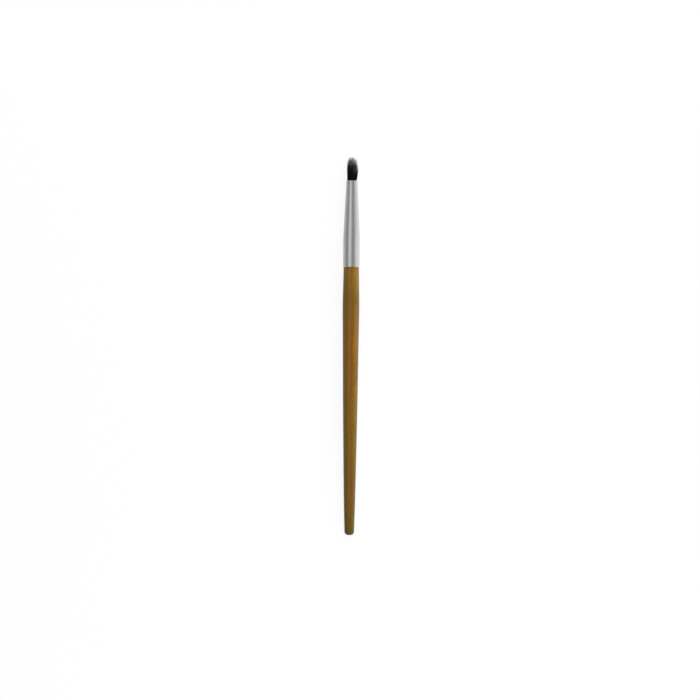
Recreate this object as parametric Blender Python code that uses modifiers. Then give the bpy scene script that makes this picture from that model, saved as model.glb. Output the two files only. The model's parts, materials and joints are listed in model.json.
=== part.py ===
"""Lip brush: a lacquered wooden handle, a tapered aluminium ferrule and a small domed tuft.

The brush lies on a flat surface along +Y, its tip towards +Y, with +Z up. The origin is
under the middle of the brush, on that surface. Every piece is modelled upright about the
brush's own axis, at its station above the butt end, and one empty lays the brush down.
"""

import math
import random

import bmesh
import bpy

mm = 0.001

# Handle: one turned piece of wood
handle_length = 120.6 * mm  # from the butt end to the shoulder under the ferrule
belly_radius = 3.78 * mm  # where the fingers hold it
butt_radius = 2.15 * mm
neck_radius = 3.47 * mm  # at the shoulder
butt_corner_radius = 1.6 * mm
shoulder_edge = 0.12 * mm  # bevel on the shoulder's outer edge
tenon_chamfer = 0.5 * mm

# Ferrule: one seamless tube, straight over the tenon and tapered to its mouth
ferrule_length = 39.1 * mm
ferrule_radius = 3.675 * mm
mouth_radius = 2.5 * mm
ferrule_wall = 0.3 * mm
straight_length = 13.7 * mm
taper_blend = 3.0 * mm  # half the stretch over which the tube bends into its taper

# Hairs, and the block in which their roots are bound
hair_reach = 10.7 * mm  # from the mouth to the tip
hair_count = 320
hair_radius = 0.07 * mm
hair_seat = 0.25 * mm  # how far each hair runs into the root block
shortest_run = 0.9 * mm  # the least length of hair past a bend in its path
belly_height = 3.6 * mm  # above the mouth, where the tuft is fullest
tuft_radius = 2.25 * mm
dome_height = 4.8 * mm
length_scatter = 0.15 * mm  # how uneven the hair ends are
root_length = 9.0 * mm
root_depth = 1.2 * mm  # from the mouth down to the top of the root block
waist_depth = 0.2 * mm  # how far the thread pulls the roots in
waist_height = 1.6 * mm  # from the root block's lower end to the middle of the thread

# Thread round the roots
thread_diameter = 0.24 * mm
thread_turns = 5

# Resin below and round the roots, and glue on the tenon
resin_cover = 2.0 * mm
resin_rise = 7.0 * mm  # from the roots' lower end to the resin's rim
glue_film = 0.1 * mm
glue_end_film = 0.3 * mm

# Clearances between pieces that touch on the real brush
fit_gap = 0.04 * mm
end_gap = 0.05 * mm

# How finely the round shapes are divided
turned_sides = 30
hair_sides = 3
arc_steps = 5
thread_arc_steps = 3
handle_steps = 18
merge_distance = 0.001 * mm

# The handle's side: (share of its length, share of the way from butt to belly radius)
handle_side_shares = (
    (0.0, 0.0),
    (0.120, 0.240),
    (0.210, 0.370),
    (0.307, 0.488),
    (0.490, 0.693),
    (0.785, 0.932),
    (0.860, 1.0),
    (0.935, 0.890),
)
balance_share = 0.54  # where the brush balances, as a share of its whole length
tip_gather_share = 0.85  # how far the tuft's sides have drawn together at the tip
hair_end_share = 0.4  # a hair's thickness at its end, against its root
hair_bend_share = 0.5  # a hair's second bend, as a share of the way from belly to tip
dome_power = 2.5  # 2 is a true ellipse, and more is blunter
golden_angle = math.pi * (3 - math.sqrt(5))
hair_seed = 5

# Fits worked out from the sizes above
bore_radius = ferrule_radius - ferrule_wall
mouth_bore_radius = mouth_radius - ferrule_wall
tenon_radius = bore_radius - 2 * fit_gap - glue_film
tenon_length = straight_length - taper_blend - glue_end_film - 2 * end_gap
root_radius = mouth_bore_radius - 2 * fit_gap
waist_radius = root_radius - waist_depth
thread_half_width = thread_turns * thread_diameter / 2
ferrule_station = handle_length + end_gap
mouth_station = ferrule_station + ferrule_length
overall_length = mouth_station + hair_reach
root_top = mouth_station - root_depth
root_bottom = root_top - root_length
waist_station = root_bottom + waist_height
facet_turn = 2 * math.pi / turned_sides


def clear_scene():
    """Removes the objects that Blender starts with."""
    for thing in list(bpy.data.objects):
        bpy.data.objects.remove(thing)


def new_collection(name):
    """A collection in the scene."""
    group = bpy.data.collections.new(name)
    bpy.context.scene.collection.children.link(group)
    return group


def finish(name, colour, metallic, roughness, coat=0.0):
    """A Principled material of one plain finish."""
    material = bpy.data.materials.new(name)
    material.use_nodes = True
    shader = material.node_tree.nodes["Principled BSDF"]
    shader.inputs["Base Color"].default_value = (*colour, 1.0)
    shader.inputs["Metallic"].default_value = metallic
    shader.inputs["Roughness"].default_value = roughness
    shader.inputs["Coat Weight"].default_value = coat
    material.diffuse_color = (*colour, 1.0)
    return material


def smooth_height(points, x):
    """The height at x of a smooth curve through points, whose x values rise."""
    slopes = []
    for k in range(len(points)):
        before = points[max(k - 1, 0)]
        after = points[min(k + 1, len(points) - 1)]
        slopes.append((after[1] - before[1]) / (after[0] - before[0]))
    last = len(points) - 2
    k = next((i for i in range(last) if x < points[i + 1][0]), last)
    span = points[k + 1][0] - points[k][0]
    t = (x - points[k][0]) / span
    leaving = (1 + 2 * t) * (1 - t) ** 2 * points[k][1] + t * (1 - t) ** 2 * span * slopes[k]
    arriving = t * t * (3 - 2 * t) * points[k + 1][1] - t * t * (1 - t) * span * slopes[k + 1]
    return leaving + arriving


def arc(radius, height, bend, start, end, steps=arc_steps):
    """Points (radius, height) on an arc of radius bend about a centre, from start to end degrees."""
    turns = [math.radians(start + (end - start) * k / steps) for k in range(steps + 1)]
    return [(radius + bend * math.cos(turn), height + bend * math.sin(turn)) for turn in turns]


def handle_radius(station):
    """The handle's radius at a station above the butt end."""
    swell = belly_radius - butt_radius
    points = [(a * handle_length, butt_radius + b * swell) for a, b in handle_side_shares]
    return smooth_height([*points, (handle_length, neck_radius)], station)


def ferrule_radius_at(height):
    """The ferrule's outer radius at a height above its rear rim, with a soft bend."""
    slope = (ferrule_radius - mouth_radius) / (ferrule_length - straight_length)
    past = height - straight_length
    if past <= -taper_blend:
        return ferrule_radius
    if past >= taper_blend:
        return ferrule_radius - slope * past
    return ferrule_radius - slope * (past + taper_blend) ** 2 / (4 * taper_blend)


def bore_radius_at(station):
    """The ferrule's inner radius at a station above the butt end."""
    return ferrule_radius_at(station - ferrule_station) - ferrule_wall


def handle_profile():
    """Tenon, shoulder, belly, taper and rounded butt end, as (radius, station), top to bottom."""
    end = handle_length + tenon_length
    tenon = [
        (0, end),
        (tenon_radius - tenon_chamfer, end),
        (tenon_radius, end - tenon_chamfer),
        (tenon_radius, handle_length),
        (neck_radius - shoulder_edge, handle_length),
    ]
    top = handle_length - shoulder_edge
    step = (top - butt_corner_radius) / handle_steps
    side = [(handle_radius(top - step * k), top - step * k) for k in range(handle_steps)]
    corner = handle_radius(butt_corner_radius) - butt_corner_radius
    butt = arc(corner, butt_corner_radius, butt_corner_radius, 0, -90)
    return [*tenon, *side, *butt, (0, 0)]


def ferrule_profile():
    """Outside from mouth to rear rim, then the bore back up, as (radius, height)."""
    rim = ferrule_wall / 2
    bends = [taper_blend * (2 * k / arc_steps - 1) for k in range(arc_steps + 1)]
    heights = [straight_length + bend for bend in bends]
    outside = [(ferrule_radius_at(h), h) for h in reversed(heights)]
    rear_rim = arc(ferrule_radius - rim, rim, rim, 0, -180)
    inside = [(ferrule_radius_at(h) - ferrule_wall, h) for h in heights]
    mouth_rim = arc(mouth_radius - rim, ferrule_length - rim, rim, 180, 0)
    return [*outside, *rear_rim, *inside, *mouth_rim]


def turned(name, profile, station, material, closed=False):
    """A turned piece: a profile of (radius, height) pairs, top to bottom, spun about Z."""
    mesh = bpy.data.meshes.new(name)
    edges = [(k, k + 1) for k in range(len(profile) - 1)]
    if closed:
        edges.append((len(profile) - 1, 0))
    mesh.from_pydata([(radius, 0, height) for radius, height in profile], edges, [])
    mesh.materials.append(material)
    piece = bpy.data.objects.new(name, mesh)
    piece.location.z = station
    piece.rotation_euler.z = (math.pi + facet_turn) / 2  # a flat of its many sides lies underneath
    spin = piece.modifiers.new("spin", "SCREW")
    spin.steps = turned_sides
    spin.render_steps = turned_sides
    spin.use_merge_vertices = True
    spin.merge_threshold = merge_distance
    spin.use_smooth_shade = True
    return piece


def handle(material):
    """The wooden handle with its tenon."""
    return turned("handle", handle_profile(), 0, material)


def ferrule(material):
    """The aluminium tube."""
    return turned("ferrule", ferrule_profile(), ferrule_station, material, closed=True)


def handle_glue(material):
    """The glue: a thin cup over the tenon, closed at the tenon's end."""
    outer = bore_radius - fit_gap
    inner = tenon_radius + fit_gap
    seat = tenon_length + end_gap
    end = seat + glue_end_film
    profile = [
        (0, end),
        (outer - tenon_chamfer, end),
        (outer, end - tenon_chamfer),
        (outer, end_gap),
        (inner, end_gap),
        (inner, seat - tenon_chamfer),
        (inner - tenon_chamfer, seat),
        (0, seat),
    ]
    return turned("handle_glue", profile, handle_length, material)


def thread_binding(material):
    """The thread round the roots, its turns side by side in the waist."""
    wire = thread_diameter / 2
    inner = waist_radius + fit_gap
    ridges = []
    for k in range(thread_turns):
        height = thread_half_width - wire - k * thread_diameter
        ridges += arc(inner + wire, height, wire, 90, -90, thread_arc_steps)[:-1]
    foot = [(inner + wire, -thread_half_width), (inner, -thread_half_width)]
    profile = [*ridges, *foot, (inner, thread_half_width)]
    return turned("thread_binding", profile, waist_station, material, closed=True)


def resin_plug(material):
    """The resin: a cup that fills the bore below the roots and round the thread."""
    floor = root_bottom - end_gap
    base = floor - resin_cover
    rim = root_bottom + resin_rise
    thread_top = waist_station + thread_half_width + waist_depth + end_gap
    root_room = root_radius + fit_gap
    thread_room = waist_radius + thread_diameter + 2 * fit_gap
    places = [
        (0, floor),
        (thread_room, floor),
        (thread_room, thread_top),
        (root_room, thread_top),
        (root_room, rim),
        (bore_radius_at(rim) - fit_gap, rim),
        (bore_radius_at(base) - fit_gap, base),
        (0, base),
    ]
    return turned("resin_plug", [(r, s - base) for r, s in places], base, material)


def root_block(material):
    """The hair roots, bound into one block, with the waist that the thread pulls in."""
    low = waist_station - thread_half_width - end_gap
    high = waist_station + thread_half_width + end_gap
    places = [
        (0, root_top),
        (root_radius, root_top),
        (root_radius, high + waist_depth),
        (waist_radius, high),
        (waist_radius, low),
        (root_radius, low - waist_depth),
        (root_radius, root_bottom),
        (0, root_bottom),
    ]
    return turned("bristle_tuft", [(r, s - root_top) for r, s in places], root_top, material)


def tuft_side(height):
    """How far from the axis the outermost hair runs, at a height above the mouth."""
    mouth = mouth_bore_radius - 2 * fit_gap - hair_radius
    belly = tuft_radius - hair_radius
    if height <= 0:
        return mouth
    if height < belly_height:
        return belly - (belly - mouth) * (1 - height / belly_height) ** 2
    past = (height - belly_height) / (hair_reach - belly_height)
    return belly * (1 - (1 - tip_gather_share) * past**2)


def hair_paths():
    """Each hair's points. Roots lie as seeds in a sunflower, and no two paths cross:
    at any height the hairs keep the roots' layout, only drawn in or let out together."""
    uneven = random.Random(hair_seed)
    bends = [belly_height, belly_height + hair_bend_share * (hair_reach - belly_height)]
    paths = []
    for k in range(hair_count):
        out = math.sqrt((k + 0.5) / hair_count)
        turn = k * golden_angle
        dome = (1 - out**dome_power) ** (1 / dome_power)
        end = hair_reach - dome_height * (1 - dome) - length_scatter * uneven.random()
        passed = [h for h in bends if h < end - shortest_run]
        heights = [-root_depth - hair_seat, *passed, end]
        sides = [out * tuft_side(h) for h in heights]
        paths.append([(r * math.cos(turn), r * math.sin(turn), h) for r, h in zip(sides, heights)])
    return paths


def hair_section():
    """The three-sided section that every hair is drawn with."""
    outline = bpy.data.curves.new("hair_section", "CURVE")
    outline.dimensions = "2D"
    spline = outline.splines.new("POLY")
    spline.points.add(hair_sides - 1)
    for k, point in enumerate(spline.points):
        turn = 2 * math.pi * k / hair_sides
        point.co = (hair_radius * math.cos(turn), hair_radius * math.sin(turn), 0, 1)
    spline.use_cyclic_u = True
    return bpy.data.objects.new("hair_section", outline)


def hairs(material):
    """All the hairs as one mesh of separate strands, with its origin at the mouth."""
    section = hair_section()
    curve = bpy.data.curves.new("hairs", "CURVE")
    curve.dimensions = "3D"
    curve.bevel_mode = "OBJECT"
    curve.bevel_object = section
    curve.use_fill_caps = True
    for path in hair_paths():
        spline = curve.splines.new("POLY")
        spline.points.add(len(path) - 1)
        for k, (point, place) in enumerate(zip(spline.points, path)):
            point.co = (*place, 1)
            point.radius = 1 if k < len(path) - 1 else hair_end_share
    drawn = bpy.data.objects.new("drawn_hairs", curve)
    drawn.location.z = mouth_station
    bpy.context.scene.collection.objects.link(drawn)
    bpy.context.view_layer.update()
    seen = drawn.evaluated_get(bpy.context.evaluated_depsgraph_get())
    mesh = bpy.data.meshes.new_from_object(seen)
    work = bmesh.new()
    work.from_mesh(mesh)
    bmesh.ops.remove_doubles(work, verts=work.verts, dist=merge_distance)
    bmesh.ops.recalc_face_normals(work, faces=work.faces)
    work.to_mesh(mesh)
    work.free()
    mesh.materials.clear()
    mesh.materials.append(material)
    strands = bpy.data.objects.new("hairs", mesh)
    strands.matrix_world = drawn.matrix_world
    bpy.data.objects.remove(drawn)
    bpy.data.objects.remove(section)
    return strands


def join_hairs(block, strands):
    """Fuses the hairs to their root block."""
    union = block.modifiers.new("hairs", "BOOLEAN")
    union.operation = "UNION"
    union.solver = "EXACT"
    union.object = strands


def set_aside(guide, group):
    """Keeps a guide out of the finished model."""
    guide.hide_render = True
    guide.display_type = "WIRE"
    group.objects.link(guide)


def lay_down():
    """An empty on the brush's axis, turned so that the handle's side lies on the surface
    at the balance point, and moved so that nothing reaches below the surface."""
    flat = math.cos(facet_turn / 2)
    balance = balance_share * overall_length
    near = handle_length / handle_steps
    rise = handle_radius(balance + near) - handle_radius(balance - near)
    lean = math.atan(flat * rise / (2 * near))
    outline = handle_profile()
    outline += [(r, h + ferrule_station) for r, h in ferrule_profile()]
    lift = max(flat * r * math.cos(lean) - s * math.sin(lean) for r, s in outline)
    axis = bpy.data.objects.new("brush_axis", None)
    axis.rotation_euler.x = lean - math.pi / 2
    axis.location = (0, -overall_length * math.cos(lean) / 2, lift)
    return axis


def build():
    """Makes the pieces, joins the tuft and lays the brush down."""
    clear_scene()
    parts = new_collection("lip_brush")
    guides = new_collection("guides")
    wood = finish("lacquered_wood", (0.30, 0.13, 0.02), 0.0, 0.3, 1.0)
    aluminium = finish("satin_aluminium", (0.78, 0.78, 0.78), 1.0, 0.28)
    hair = finish("black_hair", (0.012, 0.011, 0.009), 0.0, 0.5)
    thread = finish("binding_thread", (0.75, 0.72, 0.65), 0.0, 0.8)
    resin = finish("cured_resin", (0.70, 0.55, 0.25), 0.0, 0.2)
    glue = finish("wood_glue", (0.80, 0.74, 0.55), 0.0, 0.4)
    tuft = root_block(hair)
    strands = hairs(hair)
    join_hairs(tuft, strands)
    pieces = [
        handle(wood),
        ferrule(aluminium),
        handle_glue(glue),
        thread_binding(thread),
        resin_plug(resin),
        tuft,
    ]
    axis = lay_down()
    parts.objects.link(axis)
    for piece in pieces:
        parts.objects.link(piece)
        piece.parent = axis
    set_aside(strands, guides)
    strands.parent = axis


build()
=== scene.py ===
# Lip brush, dressed for the camera: lacquered handle, satin ferrule, domed tuft and its bound roots.
import json
import math

import bpy
import numpy as np
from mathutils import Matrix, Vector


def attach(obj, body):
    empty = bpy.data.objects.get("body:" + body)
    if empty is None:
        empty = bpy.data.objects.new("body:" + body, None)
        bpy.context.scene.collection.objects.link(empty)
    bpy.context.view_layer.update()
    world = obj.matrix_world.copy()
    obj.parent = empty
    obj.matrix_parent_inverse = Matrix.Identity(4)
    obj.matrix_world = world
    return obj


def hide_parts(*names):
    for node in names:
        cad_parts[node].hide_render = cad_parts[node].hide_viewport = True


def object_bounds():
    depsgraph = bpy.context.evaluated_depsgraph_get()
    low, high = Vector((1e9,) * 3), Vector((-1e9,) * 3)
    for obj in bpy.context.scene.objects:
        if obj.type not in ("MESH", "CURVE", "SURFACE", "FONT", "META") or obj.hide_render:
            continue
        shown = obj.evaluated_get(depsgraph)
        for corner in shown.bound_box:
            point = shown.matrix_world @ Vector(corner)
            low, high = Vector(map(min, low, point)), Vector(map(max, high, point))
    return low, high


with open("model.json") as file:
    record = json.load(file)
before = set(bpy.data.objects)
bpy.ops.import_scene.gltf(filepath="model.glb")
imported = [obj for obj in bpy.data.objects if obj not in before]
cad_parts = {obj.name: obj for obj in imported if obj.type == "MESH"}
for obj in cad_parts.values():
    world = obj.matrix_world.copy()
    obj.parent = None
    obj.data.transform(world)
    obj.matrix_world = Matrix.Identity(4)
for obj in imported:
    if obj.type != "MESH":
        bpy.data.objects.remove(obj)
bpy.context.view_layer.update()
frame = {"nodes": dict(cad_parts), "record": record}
mm = 0.001

# The brush's axis, from the mount on its butt end. Stations run along it from the butt to the tip,
# and turns go round it from the right side (+X) over the top.
buttEnd = next(mount for mount in frame["record"]["mounts"] if mount["name"] == "butt_end")
butt = np.array(buttEnd["pos_m"])
along = -np.array(buttEnd["axis"])
along /= np.linalg.norm(along)
side = np.array([1.0, 0.0, 0.0])
up = np.cross(side, along)
lean = math.atan2(along[2], along[1])

meshing = {
    "ringGap": 0.004 * mm,  # vertices closer than this along the axis are one ring
    "sharpTurn": math.radians(38),  # edges that bend more than this stay crisp
    "cornerSteps": 10,
    "bakeMap": "OFBake",  # each piece's own UV map
}


# Shapes

def placed(station, radius, turn):
    # butt + station along the axis + radius times (cos turn to the side + sin turn upwards)
    station, radius, turn = (part[..., None] for part in np.broadcast_arrays(station, radius, turn))
    return butt + station * along + radius * (np.cos(turn) * side + np.sin(turn) * up)


def outlineOf(node):
    # the rings of a CAD node's vertices, in order along the axis: each one's station and largest
    # radius, with a new ring wherever the step along the axis is more than the ring gap
    mesh = frame["nodes"][node].data
    places = np.empty(3 * len(mesh.vertices), np.float32)
    mesh.vertices.foreach_get("co", places)
    places = places.reshape(-1, 3) - butt
    station = places @ along
    radius = np.linalg.norm(places - station[:, None] * along, axis=1)
    order = np.argsort(station)
    station, radius = station[order], radius[order]
    first = np.flatnonzero(np.diff(station, prepend=station[0] - 1) > meshing["ringGap"])
    return station[first], np.maximum.reduceat(radius, first)


def smoothLine(x, knotX, knotY):
    # a cubic between each two knots, with the slope at a knot taken from its neighbours
    slope = np.gradient(knotY, knotX)
    k = np.clip(np.searchsorted(knotX, x) - 1, 0, len(knotX) - 2)
    span = knotX[k + 1] - knotX[k]
    t = (x - knotX[k]) / span
    leaving = (1 + 2 * t) * (1 - t) ** 2 * knotY[k] + t * (1 - t) ** 2 * span * slope[k]
    arriving = t**2 * (3 - 2 * t) * knotY[k + 1] - t**2 * (1 - t) * span * slope[k + 1]
    return leaving + arriving


def corner(radius, station, bend, start, end):
    # a round corner: points at distance bend from a centre, from start to end degrees
    turn = np.radians(np.linspace(start, end, meshing["cornerSteps"] + 1))
    return np.column_stack([radius + bend * np.cos(turn), station + bend * np.sin(turn)])


def meshFrom(name, points, faces):
    # faces lists (vertex numbers, map places) for each count of corners, as whole arrays
    mesh = bpy.data.meshes.new(name)
    corners = np.concatenate([numbers.ravel() for numbers, _ in faces])
    counts = np.concatenate([np.full(len(numbers), numbers.shape[1]) for numbers, _ in faces])
    mesh.vertices.add(len(points))
    mesh.vertices.foreach_set("co", points.astype(np.float32).ravel())
    mesh.loops.add(len(corners))
    mesh.loops.foreach_set("vertex_index", corners.astype(np.int32))
    mesh.polygons.add(len(counts))
    mesh.polygons.foreach_set("loop_start", (np.cumsum(counts) - counts).astype(np.int32))
    mesh.update(calc_edges=True)
    places = mesh.uv_layers.new(name=meshing["bakeMap"])
    flat = np.concatenate([where.ravel() for _, where in faces])
    places.uv.foreach_set("vector", flat.astype(np.float32))
    mesh.shade_smooth()
    mesh.set_sharp_from_angle(angle=meshing["sharpTurn"])
    return mesh


def turnedMesh(name, profile, sides, wraps=False):
    # Rows of (radius, station) carried round the axis: row i, column j is placed(station i, radius i,
    # 2 pi j / sides). The map runs round in u and along the profile in v. A profile that doesn't wrap
    # starts and ends on the axis, where its end rows close in a fan.
    radius, station = profile.T
    steps = np.hypot(*np.diff(profile, axis=0, append=profile[:1]).T)
    if not wraps:
        steps[-1] = 0
    v = np.concatenate([[0], np.cumsum(steps)]) / steps.sum()
    rows = np.arange(len(profile)) if wraps else np.arange(1, len(profile) - 1)
    turn = np.linspace(0, 2 * np.pi, sides, endpoint=False)
    points = placed(station[rows, None], radius[rows, None], turn[None]).reshape(-1, 3)
    i, j = np.mgrid[0 : len(rows) - (not wraps), 0:sides]
    here, there = i * sides, (i + 1) % len(rows) * sides
    around = (j + 1) % sides
    quads = np.stack([here + j, there + j, there + around, here + around], -1)
    low, high = v[rows[i]], v[rows[i] + 1]
    u = np.stack([j, j, j + 1, j + 1], -1) / sides
    faces = [(quads.reshape(-1, 4), np.stack([u, np.stack([low, high, high, low], -1)], -1))]
    if not wraps:
        j = np.arange(sides)
        around, beyond = (j + 1) % sides, (len(rows) - 1) * sides
        pole = np.full_like(j, len(points))
        points = np.vstack([points, placed(station[[0, -1]], radius[[0, -1]], np.zeros(2))])
        starts = np.stack([pole, j, around], -1)
        ends = np.stack([pole + 1, beyond + around, beyond + j], -1)
        fanU = np.stack([j + 0.5, j, j + 1], -1) / sides
        startV = np.broadcast_to([v[0], v[1], v[1]], fanU.shape)
        endV = np.broadcast_to([v[-2], v[-3], v[-3]], fanU.shape)
        faces.append((starts, np.stack([fanU, startV], -1)))
        faces.append((ends, np.stack([fanU[:, [0, 2, 1]], endV], -1)))
    return meshFrom(name, points, faces)


def addPiece(name, mesh, finish, slot, *nodes):
    # a new piece on the brush's body, in place of the CAD nodes that it dresses
    mesh.materials.append(finish)
    piece = bpy.data.objects.new(name, mesh)
    bpy.context.scene.collection.objects.link(piece)
    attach(piece, "root")
    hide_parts(*nodes)
    print(name, "made with", sum(len(face.vertices) - 2 for face in mesh.polygons), "triangles")


# Finishes

class Shade:
    # One socket of a node tree. Sums on it are written as Python sums and become Math nodes.
    def __init__(self, tree, socket=None):
        self.tree = tree
        self.socket = socket

    def node(self, kind, settings=None, sockets=None, output=0):
        # a new node: its settings first, then the values or links of its sockets
        made = self.tree.nodes.new(kind)
        for name, setting in (settings or {}).items():
            if name == "stops":
                ramp = made.color_ramp.elements
                while len(ramp) < len(setting):
                    ramp.new(1)
                for element, (position, colour) in zip(ramp, setting):
                    element.position = position
                    element.color = (*colour, 1)
            else:
                setattr(made, name, setting)
        for name, value in (sockets or {}).items():
            if isinstance(value, Shade):
                self.tree.links.new(value.socket, made.inputs[name])
            elif made.inputs[name].type == "RGBA":
                made.inputs[name].default_value = (*value, 1)
            else:
                made.inputs[name].default_value = value
        return Shade(self.tree, made.outputs[output])

    def pick(self, output):  # another output of the same node
        return Shade(self.tree, self.socket.node.outputs[output])

    def maths(self, operation, *values):
        return self.node("ShaderNodeMath", {"operation": operation}, dict(enumerate(values)))

    def __add__(self, other):
        return self.maths("ADD", self, other)

    __radd__ = __add__

    def __sub__(self, other):
        return self.maths("SUBTRACT", self, other)

    def __rsub__(self, other):
        return self.maths("SUBTRACT", other, self)

    def __mul__(self, other):
        return self.maths("MULTIPLY", self, other)

    __rmul__ = __mul__

    def __truediv__(self, other):
        return self.maths("DIVIDE", self, other)

    def __pow__(self, other):
        return self.maths("POWER", self, other)

    def within(self, low, high):  # 0 up to low, 1 from high, with soft ends
        settings = {"interpolation_type": "SMOOTHSTEP", "clamp": True}
        return self.node("ShaderNodeMapRange", settings, {0: self, 1: low, 2: high})

    def between(self, first, second):  # first colour where this is 0, second where it is 1
        return self.node("ShaderNodeMix", {"data_type": "RGBA"}, {0: self, 6: first, 7: second}, 2)

    def grey(self):  # this number as a colour
        return self.node("ShaderNodeCombineColor", {}, {0: self, 1: self, 2: self})

    def tinted(self, tint, share=1.0):  # this colour times another, as far as share goes from 0 to 1
        settings = {"data_type": "RGBA", "blend_type": "MULTIPLY"}
        return self.node("ShaderNodeMix", settings, {0: share, 6: self, 7: tint}, 2)

    def bump(self, height, distance, **sockets):  # a normal, from a height that varies between 0 and 1
        sockets = {"Height": height, "Distance": distance, "Strength": 1.0} | sockets
        return self.node("ShaderNodeBump", {}, sockets)


def brushPlace(shade):
    # Object coordinates turned on to the brush's axis, in mm: x to the right, y from the butt, z up
    place = shade.node("ShaderNodeTexCoord", output="Object")
    sockets = {"Vector": place, "Location": butt, "Rotation": (lean, 0, 0), "Scale": (mm, mm, mm)}
    centred = shade.node("ShaderNodeMapping", {"vector_type": "TEXTURE"}, sockets)
    parts = shade.node("ShaderNodeSeparateXYZ", {}, {0: centred})
    return parts.pick(0), parts.pick(1), parts.pick(2)


def mapPlace(shade):
    # u and v of the piece's own map
    place = shade.node("ShaderNodeUVMap", {"uv_map": meshing["bakeMap"]})
    parts = shade.node("ShaderNodeSeparateXYZ", {}, {0: place})
    return parts.pick(0), parts.pick(1)


def noiseAt(shade, place, across, lengthways, detail, roughness=0.5):
    # a noise at x / across, y / lengthways and z / across, whose features are about 1 wide there
    x, y, z = place
    scaled = shade.node("ShaderNodeCombineXYZ", {}, {0: x / across, 1: y / lengthways, 2: z / across})
    sockets = {"Vector": scaled, "Scale": 1.0, "Detail": detail, "Roughness": roughness}
    return shade.node("ShaderNodeTexNoise", {}, sockets)


def newFinish(name):
    # a material, and the Shade that adds nodes to it
    material = bpy.data.materials.new(name)
    material.use_nodes = True
    return material, Shade(material.node_tree)


def setShader(material, **sockets):
    # sets the shader's sockets, named with _ for a space: a Shade is linked, the rest is written
    shader = material.node_tree.nodes["Principled BSDF"]
    for name, value in sockets.items():
        target = shader.inputs[name.replace("_", " ")]
        if isinstance(value, Shade):
            material.node_tree.links.new(value.socket, target)
        else:
            target.default_value = (*value, 1) if target.type == "RGBA" else value
    return material


# Handle

handleShape = {
    "sides": 144,
    "sideSteps": 230,
    "buttCorner": 1.6 * mm,  # radius of the rounding at the butt end
    "shoulderEdge": 0.12 * mm,  # radius of the rounding at the ferrule
}

# A finish's noises give the width and length of their features in mm, and how fine they go.
woodFinish = {
    # the stain, from olive at the butt to orange and back, by share of the handle's length
    "stain": [
        (0.00, (0.117, 0.120, 0.0050)),
        (0.04, (0.158, 0.125, 0.0035)),
        (0.15, (0.240, 0.132, 0.0030)),
        (0.31, (0.240, 0.150, 0.0035)),
        (0.48, (0.274, 0.150, 0.0030)),
        (0.72, (0.310, 0.152, 0.0025)),
        (0.88, (0.257, 0.138, 0.0025)),
        (0.98, (0.310, 0.190, 0.0050)),
    ],
    "drift": {"across": 6.0, "lengthways": 24.0, "detail": 1.5},
    "driftShift": 18.0,  # mm, which keeps it from following the grain's wandering
    "driftDepth": 0.10,  # how far the stain's bounds move, as a share of the length
    "paintedShadingTint": (0.95, 0.74, 0.9),  # painted shading: the stain is multiplied by this along the middle strip facing the camera
    "paintedShadingMiddle": -0.1,  # mm to the right
    "paintedShadingReach": (0.3, 3.1),  # mm from its middle, where it starts to fade and where it ends
    "pith": (-15.0, -21.0),  # mm from the axis to the heart of the branch, sideways and up
    "runout": (0.016, 0.022),  # how far the grain slants off the axis for each mm along it
    "wander": {"across": 20.0, "lengthways": 34.0, "detail": 1.0},
    "wanderReach": (2.4, 1.6),  # how far the grain bows to either side, sideways and up
    "ringSpacing": 1.35,
    "ringUneven": 0.8,
    "ringEdge": 0.93,  # the share of a ring at which its late wood ends
    "ringDepth": 0.22,
    "fibre": {"across": 0.20, "lengthways": 7.0, "detail": 3.0, "roughness": 0.6},
    "fibreDepth": 0.26,
    "fleck": {"across": 0.14, "lengthways": 1.3, "detail": 0.0},
    "fleckRange": (0.66, 0.78),
    "fleckDepth": 0.38,
    "buttDarkDepth": 0.35,
    "buttDarkReach": (0.1, 1.6),  # mm from the butt, where it starts to fade and where it ends
    "roughness": 0.42,
    "gloss": 0.0,  # the lacquer alone shines
    "coatRoughness": 0.17,
    "coatWeight": 1.0,
    "peel": {"across": 0.8, "lengthways": 0.8, "detail": 1.0},  # the lacquer's faint orange peel
    "peelHeight": 0.002 * mm,
    "grainHeight": 0.004 * mm,
}

# the last three rings are the shoulder, the start of the tenon's bevel and the tenon's end
handleRings, handleRadii = outlineOf("handle")
shoulderStation = handleRings[-3]


def handleProfile():
    # butt centre, round corner, swelling side read from the CAD rings, shoulder, tenon
    rings, radii, shoulder = handleRings, handleRadii, shoulderStation
    bend, edge = handleShape["buttCorner"], handleShape["shoulderEdge"]
    tenonFoot, tenonEnd = radii[-2], rings[-1]
    onSide = (rings > bend - meshing["ringGap"]) & (rings < shoulder - meshing["ringGap"])
    knots, sizes = rings[onSide], radii[onSide]
    stations = np.linspace(bend, shoulder - edge, handleShape["sideSteps"])
    sideLine = np.column_stack([smoothLine(stations, knots, sizes), stations])
    buttCorner = corner(sizes[0] - bend, bend, bend, -90, 0)
    shoulderEdge = corner(sizes[-1] - edge, shoulder - edge, edge, 0, 90)
    tenon = [(tenonFoot, shoulder), (tenonFoot, rings[-2]), (radii[-1], tenonEnd), (0, tenonEnd)]
    return np.vstack([[(0, 0)], buttCorner, sideLine[1:-1], shoulderEdge, tenon])


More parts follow.
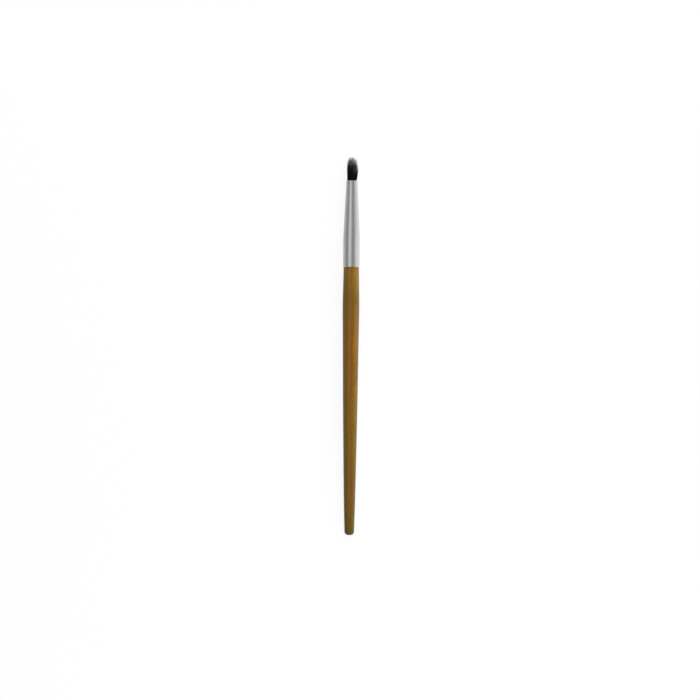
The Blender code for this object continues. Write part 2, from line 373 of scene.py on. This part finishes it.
def woodMaterial():
    # colour = stain with painted shading times (1 + fibres - late wood - flecks), darker at the butt
    # end
    look = woodFinish
    material, shade = newFinish("lacqueredWood")
    place = brushPlace(shade)
    x, y, z = place
    wander = noiseAt(shade, place, **look["wander"]) - 0.5
    bow = wander * look["wanderReach"][0]
    grainX = x - y * look["runout"][0] + bow
    grainZ = z - y * look["runout"][1] + wander * look["wanderReach"][1]
    # growth rings: distance from the pith, darkening slowly to each ring's edge and dropping at it
    fromPith = ((grainX - look["pith"][0]) ** 2 + (grainZ - look["pith"][1]) ** 2) ** 0.5
    ring = shade.maths("FRACT", fromPith / look["ringSpacing"] + wander * look["ringUneven"])
    lateWood = ring**3 * (1 - ring.within(look["ringEdge"], 1.0))
    # fibres and ray flecks: noises drawn out along the grain
    grain = (grainX, y, grainZ)
    fibre = noiseAt(shade, grain, **look["fibre"])
    fleck = noiseAt(shade, grain, **look["fleck"]).within(*look["fleckRange"])
    # stain: by its place along the handle, redder along the middle strip facing the camera: painted
    # shading
    drift = noiseAt(shade, (x + look["driftShift"], y, z), **look["drift"]) - 0.5
    position = y * mm / shoulderStation + look["driftDepth"] * drift
    stain = shade.node("ShaderNodeValToRGB", {"stops": look["stain"]}, {0: position})
    # painted shading: the middle strip is tinted redder, and the sides keep the olive stain
    fromShadingMiddle = shade.maths("ABSOLUTE", x + bow - look["paintedShadingMiddle"])
    wood = stain.tinted(look["paintedShadingTint"], 1 - fromShadingMiddle.within(*look["paintedShadingReach"]))
    light = 1 + 2 * look["fibreDepth"] * (fibre - 0.5)
    light = light - look["ringDepth"] * lateWood - look["fleckDepth"] * fleck
    # darker towards the butt end, over its rounded corner
    nearButt = 1 - y.within(*look["buttDarkReach"])
    light = light * (1 - look["buttDarkDepth"] * nearButt)
    grainBump = shade.bump(fibre - fleck, look["grainHeight"])
    peelBump = shade.bump(noiseAt(shade, place, **look["peel"]), look["peelHeight"], Normal=grainBump)
    return setShader(
        material,
        Base_Color=wood.tinted(light.grey()),
        Roughness=look["roughness"],
        Specular_IOR_Level=look["gloss"],
        Coat_Weight=look["coatWeight"],
        Coat_Roughness=look["coatRoughness"],
        Normal=peelBump,
    )


handleMesh = turnedMesh("turnedHandle", handleProfile(), handleShape["sides"])
addPiece("turnedHandle", handleMesh, woodMaterial(), "lacquered_wood", "handle")

# Ferrule

ferruleShape = {
    "sides": 160,
    "wall": 0.3 * mm,
    "straight": 13.7 * mm,  # length over the tenon before the taper
    "bend": 3.0 * mm,  # half the stretch over which the straight turns into the taper
    "radius": 3.675 * mm,
    "mouthRadius": 2.5 * mm,
    "mouthTrim": 0.15 * mm,  # the photograph shows the mouth this much lower than the CAD has it
    "bendSteps": 24,
    "taperSteps": 60,
}

metalFinish = {
    "brightness": 0.80,
    "roughness": 0.28,
    "cloud": {"across": 2.6, "lengthways": 2.6, "detail": 3.0, "roughness": 0.6},
    "cloudRoughness": 0.04,  # how much the roughness changes from place to place
    "cloudDepth": 0.05,  # how much the brightness does
    # fine lines round the tube, left by the polishing
    "lines": {"across": 4.0, "lengthways": 0.07, "detail": 3.0, "roughness": 0.7},
    "lineHeight": 0.0001 * mm,
}

ferruleRings = outlineOf("ferrule")[0]
mouthStation = ferruleRings[-1] - ferruleShape["mouthTrim"]


def ferruleProfile():
    # Outside from the rear rim to the mouth, then the bore back down. The outside is straight, then
    # bends along a parabola into an even taper. Both rims are half rounds as thick as the wall.
    shape = ferruleShape
    rear, mouth = ferruleRings[0], mouthStation
    rim = shape["wall"] / 2
    taperLength = mouth - rear - shape["straight"]
    slope = (shape["radius"] - shape["mouthRadius"]) / taperLength
    bends = np.linspace(-shape["bend"], shape["bend"], shape["bendSteps"])
    taper = np.linspace(shape["bend"], taperLength - rim, shape["taperSteps"])[1:-1]
    past = np.concatenate([bends, taper])
    fall = np.where(past < shape["bend"], (past + shape["bend"]) ** 2 / (4 * shape["bend"]), past)
    outside = np.column_stack([shape["radius"] - slope * fall, rear + shape["straight"] + past])
    inside = outside[::-1] - [shape["wall"], 0]
    mouthRim = corner(shape["mouthRadius"] - rim, mouth - rim, rim, 0, 180)
    rearRim = corner(shape["radius"] - rim, rear + rim, rim, 180, 360)
    return np.vstack([outside, mouthRim, inside, rearRim])


def metalMaterial():
    # brightness and roughness drift with one cloudy noise, and another raises the polishing lines
    look = metalFinish
    material, shade = newFinish("satinAluminium")
    place = brushPlace(shade)
    cloud = noiseAt(shade, place, **look["cloud"]) - 0.5
    lines = noiseAt(shade, place, **look["lines"])
    brightness = look["brightness"] * (1 - look["cloudDepth"] * cloud)
    return setShader(
        material,
        Base_Color=brightness.grey(),
        Metallic=1.0,
        Roughness=look["roughness"] + look["cloudRoughness"] * cloud,
        Normal=shade.bump(lines, look["lineHeight"]),
    )


ferruleMesh = turnedMesh("drawnFerrule", ferruleProfile(), ferruleShape["sides"], wraps=True)
addPiece("drawnFerrule", ferruleMesh, metalMaterial(), "satin_aluminium", "ferrule")

# Tuft and its bound roots

tuftShape = {
    "hairs": 2300,
    "hairSides": 3,
    "hairRings": 9,
    "ringPower": 0.85,  # under 1, so a hair's rings crowd a little towards its end
    "hairRadius": 0.042 * mm,
    "endShare": 0.22,  # a hair's thickness at its end, against its root
    "bellyHeight": 3.6 * mm,  # above the mouth, where the tuft is fullest
    "bellyRadius": 2.12 * mm,
    "gather": 0.90,  # the tuft's width at the tip, against its belly
    # the ends of most hairs make a black dome, and a few longer ones stand out of it as wisps
    "core": {"drop": 1.85 * mm, "dome": 4.6 * mm, "power": 2.0, "scatter": 1.2 * mm},
    "wisps": {"drop": -0.12 * mm, "dome": 2.5 * mm, "power": 2.0, "scatter": 1.6 * mm},
    "wispShare": 0.22,
    "apex": -0.04,  # how far the dome's top lies to the left, as a share of the tuft's radius
    "toneAndSheen": {"base": 0.14, "wisp": 0.6, "right": 0.42, "uneven": 0.06},  # how pale the ends are; the share for the right side is painted highlight
    "toneRange": (0.02, 0.98),
    "mapHalfWidth": 0.008,  # half of a hair's width on the map
    "wave": 0.05 * mm,  # how far hairs sway
    "stray": 0.75 * mm,  # how far the loosest hair spreads outwards
    "strayPower": 3.5,  # higher for fewer loose hairs
    "lopsided": 0.75,  # how much further hairs stray on the right side
    "locks": 70,
    "lockPull": 0.32,  # how far hairs lean to the middle of their lock at their ends
    "boreGap": 0.03 * mm,
    "seat": 0.25 * mm,  # how deep hairs stand in the block of roots
    "seed": 5,
}

rootShape = {
    "sides": 96,
    "depth": 1.2 * mm,  # from the mouth down to the block's top
    "radius": 2.12 * mm,
    "waistDepth": 0.2 * mm,
    "waistHeight": 1.6 * mm,
    "waistHalfWidth": 0.65 * mm,
    "edge": 0.1 * mm,
}

hairFinish = {
    "black": (0.0055, 0.0055, 0.0045),
    "grey": (0.46, 0.455, 0.43),
    "fadeShare": 0.24,  # the last part of a hair, which pales towards its end
    "fadePower": 1.4,
    "streak": {"across": 1 / 60, "lengthways": 1 / 7, "detail": 2.0},  # in shares of the map
    "streakDepth": 0.6,
    "roughness": 0.5,
    "specular": 0.12,
}

tuftRings = outlineOf("bristle_tuft")[0]
tipStation, rootStation = tuftRings[-1], tuftRings[0]
reach = tipStation - mouthStation


def tuftSide(height):
    # how far out the outermost hair runs: the bore at the mouth, swelling along a parabola to the
    # belly, then drawn in by the square of the share of the way to the tip
    shape = tuftShape
    mouth = ferruleShape["mouthRadius"] - ferruleShape["wall"] - shape["boreGap"] - shape["hairRadius"]
    rise = np.clip(1 - height / shape["bellyHeight"], 0, 1)
    past = np.clip((height - shape["bellyHeight"]) / (reach - shape["bellyHeight"]), 0, 1)
    swelling = shape["bellyRadius"] - (shape["bellyRadius"] - mouth) * rise**2
    return swelling * (1 - (1 - shape["gather"]) * past**2)


def hairEnd(off, luck, drop, dome, power, scatter):
    # reach - drop - dome (1 - (1 - off^p)^(1/p)) - scatter times luck, off from the dome's top
    return reach - drop - dome * (1 - (1 - off**power) ** (1 / power)) - scatter * luck


def hairMesh():
    # Hair k starts at the k-th seed of a sunflower: radius sqrt(k / count), turn k times the golden
    # angle. It keeps its share of the tuft's side at every height and sways a little. It leans to its
    # lock by the square of its height, and strays outwards by a power of a chance share.
    shape = tuftShape
    chance = np.random.default_rng(shape["seed"])
    k = np.arange(shape["hairs"])
    out = np.sqrt((k + 0.5) / shape["hairs"])
    turn = k * math.pi * (3 - math.sqrt(5))
    layout = np.stack([out * np.cos(turn), out * np.sin(turn)], -1)
    wisp = chance.random(len(k)) < shape["wispShare"]
    luck = chance.random(len(k))
    off = np.hypot(layout[:, 0] - shape["apex"], layout[:, 1]) / (1 + abs(shape["apex"]))
    end = np.where(wisp, hairEnd(off, luck, **shape["wisps"]), hairEnd(off, luck, **shape["core"]))
    share = np.linspace(0, 1, shape["hairRings"]) ** shape["ringPower"]
    start = -rootShape["depth"] - shape["seat"]
    height = start + (end[:, None] - start) * share
    # the middle line of each hair, sideways and upwards
    seeds = layout[chance.choice(len(k), shape["locks"], replace=False)]
    nearest = seeds[np.linalg.norm(layout[:, None] - seeds, axis=-1).argmin(1)]
    free = np.clip(height / reach, 0, 1)[..., None]
    middle = layout[:, None] + (nearest - layout)[:, None] * shape["lockPull"] * free**2
    middle = middle * tuftSide(height)[..., None]
    sway = chance.normal(size=(len(k), 1, 2)) * shape["wave"]
    loose = chance.random(len(k)) ** shape["strayPower"]
    spread = shape["stray"] * (1 + shape["lopsided"] * layout[:, 0]) * loose
    outwards = np.stack([np.cos(turn), np.sin(turn)], -1)[:, None]
    middle = middle + sway * free * (1 + free)
    middle = middle + outwards * spread[:, None, None] * (1 - (1 - free) ** 3)
    # the rings round it
    sides = shape["hairSides"]
    thickness = shape["hairRadius"] * (1 - (1 - shape["endShare"]) * share**3)
    around = 2 * np.pi * (chance.random((len(k), 1, 1)) + np.arange(sides) / sides)
    ringX = middle[:, :, None, 0] + thickness[None, :, None] * np.cos(around)
    ringY = middle[:, :, None, 1] + thickness[None, :, None] * np.sin(around)
    station = mouthStation + height[:, :, None]
    points = placed(station, np.hypot(ringX, ringY), np.arctan2(ringY, ringX)).reshape(-1, 3)
    # map: u is the hair's tone, painted highlight on the right included, and v is 1 at its end and
    # falls with the distance from it, so that all hairs may share one map
    pale = shape["toneAndSheen"]
    # the right side's share is painted highlight, for the light from the right on the hair ends
    toneAndSheen = pale["base"] + pale["wisp"] * wisp + pale["right"] * np.maximum(layout[:, 0], 0)
    toneAndSheen = np.clip(toneAndSheen + pale["uneven"] * chance.normal(size=len(k)), *shape["toneRange"])
    v = 1 - (end[:, None] - height) / (reach - start)
    hair, ring, edge = np.mgrid[0 : len(k), 0 : shape["hairRings"] - 1, 0:sides]
    base = (hair * shape["hairRings"] + ring) * sides
    beside = (edge + 1) % sides
    quads = np.stack([base + edge, base + sides + edge, base + sides + beside, base + beside], -1)
    half = shape["mapHalfWidth"]
    left, right = toneAndSheen[hair] - half, toneAndSheen[hair] + half
    low, high = v[hair, ring], v[hair, ring + 1]
    quadU = np.stack([left, left, right, right], -1)
    quadV = np.stack([low, high, high, low], -1)
    foot = (k * shape["hairRings"])[:, None] * sides + np.arange(sides)
    tip = foot + (shape["hairRings"] - 1) * sides
    capU = toneAndSheen[:, None] + np.array([-half, 0, half])
    footMap = np.stack([capU, v[:, :1] + [0, half, 0]], -1)
    tipMap = np.stack([capU, v[:, -1:] - [0, half, 0]], -1)
    caps = np.concatenate([foot, tip[:, ::-1]])
    faces = [(quads.reshape(-1, 4), np.stack([quadU, quadV], -1))]
    faces.append((caps, np.concatenate([footMap, tipMap])))
    return meshFrom("tuftHairs", points, faces)


def rootProfile():
    # the bound block of roots, with the waist that the thread pulls in by slopes of 45 degrees
    shape = rootShape
    top = mouthStation - shape["depth"]
    waist = rootStation + shape["waistHeight"]
    edge, wide, deep = shape["edge"], shape["radius"], shape["waistDepth"]
    low, high = waist - shape["waistHalfWidth"], waist + shape["waistHalfWidth"]
    footEdge = corner(wide - edge, rootStation + edge, edge, -90, 0)
    waistLine = [(wide, low - deep), (wide - deep, low), (wide - deep, high), (wide, high + deep)]
    topEdge = corner(wide - edge, top - edge, edge, 0, 90)
    return np.vstack([[(0, rootStation)], footEdge, waistLine, topEdge, [(0, top)]])


def hairMaterial():
    # black to grey by tone^power over the last share of the hair, times streaks along it
    look = hairFinish
    material, shade = newFinish("tuftHair")
    toneAndSheen, fromRoot = mapPlace(shade)
    fade = fromRoot.within(1 - look["fadeShare"], 1.0) * toneAndSheen ** look["fadePower"]
    streak = noiseAt(shade, (toneAndSheen, fromRoot, 0.0), **look["streak"])
    light = 1 + look["streakDepth"] * (streak - 0.5)
    return setShader(
        material,
        Base_Color=fade.between(look["black"], look["grey"]).tinted(light.grey()),
        Roughness=look["roughness"],
        Specular_IOR_Level=look["specular"],
    )


blackHair = hairMaterial()
addPiece("tuftHairs", hairMesh(), blackHair, "tuft_hair", "bristle_tuft")
rootMesh = turnedMesh("boundRoots", rootProfile(), rootShape["sides"])
addPiece("boundRoots", rootMesh, blackHair, "tuft_hair", "bristle_tuft")

# Thread, resin and glue, which the ferrule hides

threadShape = {
    "turns": 5,
    "turnSteps": 44,
    "sides": 8,
    "inner": 1.96 * mm,
    "thickness": 0.24 * mm,
    "halfWidth": 0.6 * mm,
    "squeeze": 0.99,  # the thread's width against its pitch
    "mapShare": 0.97,  # of the map's width, beside which the two cut ends lie
    "endPlaces": ((0.985, 0.3), (0.985, 0.7)),
    "endRadius": 0.01,
}

threadFinish = {
    "linen": (0.72, 0.68, 0.58),
    # painted shade in the groove between the two plies
    "grooveShade": (0.36, 0.32, 0.24),
    "grooveShadeRange": (0.0, 0.4),
    "twists": 150,  # how often the two plies turn along the whole thread
    "plies": 2,
    "plyPower": 0.5,  # makes a ply's back round
    "plyHeight": 0.02 * mm,
    "roughness": 0.85,
}

resinFinish = {
    "clear": (0.46, 0.23, 0.055),
    "cloudy": (0.70, 0.52, 0.25),
    "cloud": {"across": 1.3, "lengthways": 1.3, "detail": 3.0, "roughness": 0.6},
    "cloudRange": (0.4, 0.7),
    "bubble": {"across": 0.35, "lengthways": 0.35, "detail": 0.0},
    "bubbleRange": (0.7, 0.8),
    "bubbleHeight": 0.03 * mm,
    "roughness": 0.16,
}

glueFinish = {
    "thin": (0.60, 0.44, 0.20),
    "thick": (0.80, 0.72, 0.50),
    "smear": {"across": 1.1, "lengthways": 4.0, "detail": 3.0, "roughness": 0.6},
    "smearRange": (0.35, 0.65),
    "smearHeight": 0.02 * mm,
    "roughness": 0.38,
}


def threadMesh():
    # a helix of equal turns side by side in the waist of the roots, with an oval section
    shape = threadShape
    count, sides = shape["turns"] * shape["turnSteps"] + 1, shape["sides"]
    pitch = 2 * shape["halfWidth"] / (shape["turns"] + 1)
    waist = rootStation + rootShape["waistHeight"]
    travel = np.linspace(0, shape["turns"], count)[:, None]
    around = 2 * np.pi * np.arange(sides) / sides
    middle = waist - shape["halfWidth"] + pitch * (travel + 0.5)
    station = middle + shape["squeeze"] * pitch / 2 * np.sin(around)
    radius = shape["inner"] + shape["thickness"] / 2 * (1 + np.cos(around))
    points = placed(station, radius, 2 * np.pi * travel).reshape(-1, 3)
    i, j = np.mgrid[0 : count - 1, 0:sides]
    here, beside = i * sides + j, i * sides + (j + 1) % sides
    quads = np.stack([here, beside, beside + sides, here + sides], -1)
    u = np.stack([i, i, i + 1, i + 1], -1) / count * shape["mapShare"]
    v = np.stack([j, j + 1, j + 1, j], -1) / sides
    last = (count - 1) * sides + np.arange(sides)
    caps = np.stack([np.arange(sides)[::-1], last])
    circle = shape["endRadius"] * np.stack([np.cos(around), np.sin(around)], -1)
    capMap = circle + np.array(shape["endPlaces"])[:, None]
    faces = [(quads.reshape(-1, 4), np.stack([u, v], -1)), (caps, capMap)]
    return meshFrom("threadWinding", points, faces)


def threadMaterial():
    # ply = 1 - |2 twist - 1|, where twist is the broken part of u times twists + v times plies
    look = threadFinish
    material, shade = newFinish("linenThread")
    u, v = mapPlace(shade)
    twist = shade.maths("FRACT", u * look["twists"] + v * look["plies"])
    ply = 1 - shade.maths("ABSOLUTE", twist * 2 - 1)
    bump = shade.bump(ply ** look["plyPower"], look["plyHeight"])
    # darker in the groove between the plies: painted shade
    colour = ply.within(*look["grooveShadeRange"]).between(look["grooveShade"], look["linen"])
    return setShader(material, Base_Color=colour, Roughness=look["roughness"], Normal=bump)


def resinMaterial():
    # clear to cloudy by one noise, and small bubbles where another is high
    look = resinFinish
    material, shade = newFinish("curedResin")
    place = brushPlace(shade)
    cloud = noiseAt(shade, place, **look["cloud"]).within(*look["cloudRange"])
    bubble = noiseAt(shade, place, **look["bubble"]).within(*look["bubbleRange"])
    bump = shade.bump(bubble, look["bubbleHeight"])
    colour = cloud.between(look["clear"], look["cloudy"])
    return setShader(material, Base_Color=colour, Roughness=look["roughness"], Normal=bump)


def glueMaterial():
    # thin to thick by one noise drawn out along the brush, which also raises it
    look = glueFinish
    material, shade = newFinish("woodGlue")
    smear = noiseAt(shade, brushPlace(shade), **look["smear"])
    bump = shade.bump(smear, look["smearHeight"])
    colour = smear.within(*look["smearRange"]).between(look["thin"], look["thick"])
    return setShader(material, Base_Color=colour, Roughness=look["roughness"], Normal=bump)


addPiece("threadWinding", threadMesh(), threadMaterial(), "binding_thread", "thread_binding")
frame["nodes"]["resin_plug"].material_slots[0].material = resinMaterial()
frame["nodes"]["handle_glue"].material_slots[0].material = glueMaterial()
print("resin and glue dressed")

# Camera

cameraSet = {
    "field": 12.0,  # degrees
    "across": 315.0 * mm,  # what the frame spans at the brush
    "aim": (-0.29 * mm, -1.86 * mm),
    "roll": 0.45,  # degrees, which leans the tip to the right
    "brushHeight": 4.0 * mm,
    "sensor": 36.0,
    "clip": (0.05, 20.0),
}


def addCamera():
    # straight above: lens = half the sensor over the tangent of half the field, and the height over
    # the brush = half the span over the same tangent
    look = cameraSet
    opening = math.tan(math.radians(look["field"] / 2))
    data = bpy.data.cameras.new("camera")
    data.sensor_width = look["sensor"]
    data.lens = look["sensor"] / 2 / opening
    data.clip_start, data.clip_end = look["clip"]
    camera = bpy.data.objects.new("camera", data)
    camera.location = (*look["aim"], look["brushHeight"] + look["across"] / 2 / opening)
    camera.rotation_euler.z = math.radians(look["roll"])
    bpy.context.scene.collection.objects.link(camera)
    bpy.context.scene.camera = camera


addCamera()

# Light and floor

# Each softbox lies along the brush or across its ends: its direction from overhead in degrees
# (sideways to the right, endways to the tip), its distance and size in metres, and its brightness,
# where 1 shows as white. The fills light the brush and don't show in its metal and lacquer, where
# the slim gloss boxes stand for them.
softboxes = {
    "leftStrip": {"turn": (-22, 0), "distance": 0.62, "size": (0.42, 0.9), "brightness": 0.40},
    "rightColumn": {"turn": (66, 0), "distance": 2.5, "size": (2.2, 0.24), "brightness": 0.43},
    "tipFill": {
        "turn": (35, 55), "distance": 0.62, "size": (0.8, 0.55), "brightness": 2.5, "mirrored": False
    },
    "buttFill": {
        "turn": (35, -55), "distance": 0.62, "size": (0.8, 0.55), "brightness": 2.0, "mirrored": False
    },
    "tipGloss": {"turn": (35, 55), "distance": 0.62, "size": (0.3, 0.55), "brightness": 1.4},
    "buttGloss": {"turn": (35, -55), "distance": 0.62, "size": (0.3, 0.55), "brightness": 1.4},
}

studio = {
    "surround": 0.09,  # the room's own light on the brush, from every side
    "rightGlow": 0.26,  # and what is added to it from the right
    "glowRange": (0.6, 1.0),  # how far to the right, with 1 for straight from the side
    # how much of the white background a reflection shows, left and right
    "mirroredWorld": (0.20, 0.36),
    "mirroredFloor": (0.20, 0.62),
    "floorSize": 8.0,
    "floorPaintShadedLeft": (0.45, 0.85),  # left and right of the brush; the darker left is painted shade
    "floorTurn": 0.03,  # how far from the middle one paint has turned into the other
    "floorOwnLight": 0.87,  # how much of the floor's white the camera sees without lamps
    "floorShare": 0.18,  # how much of the lamps' light it sees, and so how dark the shadow is
    "fadeRange": (0.25, 0.7),  # how far out the seen floor turns into plain white
}


def addSoftbox(name, turn, distance, size, brightness, mirrored=True):
    # a rectangle that faces the brush from that direction, with power = pi times area times brightness
    data = bpy.data.lights.new(name, "AREA")
    data.shape = "RECTANGLE"
    data.size, data.size_y = size
    data.energy = brightness * math.pi * size[0] * size[1]
    box = bpy.data.objects.new(name, data)
    sideways, endways = (math.radians(part) for part in turn)
    flat = math.cos(endways)
    away = (math.sin(sideways) * flat, math.sin(endways), math.cos(sideways) * flat)
    box.location = [distance * part for part in away]
    box.rotation_euler = (-endways, sideways, 0)
    box.visible_camera = False
    box.visible_glossy = mirrored
    bpy.context.scene.collection.objects.link(box)


def shownBackdrop(shade, onRight, left, right):
    # 1 for the camera and through glass, where the background is white, and a share of it for
    # reflections, from the left share to the right one as onRight goes from 0 to 1
    rays = shade.node("ShaderNodeLightPath", output="Is Camera Ray")
    mirrored = rays.pick("Is Glossy Ray") * (left + (right - left) * onRight)
    return shade.maths("MINIMUM", rays + rays.pick("Is Transmission Ray") + mirrored, 1.0)


def lightWorld():
    # strength = the room's light times (1 - shown) + shown, the share of the white backdrop
    look = studio
    world = bpy.data.worlds.new("studio")
    bpy.context.scene.world = world
    world.use_nodes = True
    shade = Shade(world.node_tree)
    direction = shade.node("ShaderNodeTexCoord", output="Generated")
    across = shade.node("ShaderNodeSeparateXYZ", {}, {0: direction})
    onRight = across.within(*look["glowRange"])
    room = look["surround"] + look["rightGlow"] * onRight
    shown = shownBackdrop(shade, onRight, *look["mirroredWorld"])
    strength = room * (1 - shown) + shown
    background = world.node_tree.nodes["Background"]
    background.inputs["Color"].default_value = (1, 1, 1, 1)
    world.node_tree.links.new(strength.socket, background.inputs["Strength"])


def floorMaterial():
    # To the camera the floor is white by its own light, less the brush's shadow, and further out
    # nothing but white. To everything else it is paint, pale on the right and darker on the left, where
    # the dark is painted shade.
    look = studio
    material, shade = newFinish("paleFloor")
    nodes = material.node_tree.nodes
    nodes.remove(nodes["Principled BSDF"])
    place = shade.node("ShaderNodeTexCoord", output="Object")
    across = shade.node("ShaderNodeSeparateXYZ", {}, {0: place})
    left, right = ((level,) * 3 for level in look["floorPaintShadedLeft"])
    onRight = across.within(-look["floorTurn"], look["floorTurn"])
    # the darker left half is painted shade, which reflections and bounced light pick up
    paintAndShade = onRight.between(left, right)
    plain = shade.node("ShaderNodeBsdfDiffuse", {}, {"Color": paintAndShade})
    shadowed = shade.node("ShaderNodeBsdfDiffuse", {}, {"Color": (look["floorShare"],) * 3})
    glow = shade.node("ShaderNodeEmission", {}, {"Color": (1, 1, 1), "Strength": look["floorOwnLight"]})
    white = shade.node("ShaderNodeEmission", {}, {"Color": (1, 1, 1), "Strength": 1.0})
    near = shade.node("ShaderNodeAddShader", {}, {0: glow, 1: shadowed})
    distance = shade.node("ShaderNodeVectorMath", {"operation": "LENGTH"}, {0: place}, "Value")
    far = distance.within(*look["fadeRange"])
    seenFloor = shade.node("ShaderNodeMixShader", {}, {0: far, 1: near, 2: white})
    shown = shownBackdrop(shade, onRight, *look["mirroredFloor"])
    whole = shade.node("ShaderNodeMixShader", {}, {0: shown, 1: plain, 2: seenFloor})
    material.node_tree.links.new(whole.socket, nodes["Material Output"].inputs["Surface"])
    return material


def addFloor():
    # a square just under the lowest point of the brush
    half = studio["floorSize"] / 2
    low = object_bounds()[0][2]
    mesh = bpy.data.meshes.new("floor")
    corners = [(-half, -half, low), (half, -half, low), (half, half, low), (-half, half, low)]
    mesh.from_pydata(corners, [], [(0, 1, 2, 3)])
    mesh.materials.append(floorMaterial())
    floor = bpy.data.objects.new("floor", mesh)
    bpy.context.scene.collection.objects.link(floor)


for name, box in softboxes.items():
    addSoftbox(name, **box)
lightWorld()
addFloor()
bpy.context.scene.view_settings.view_transform = "Standard"
print("camera, light and floor set")
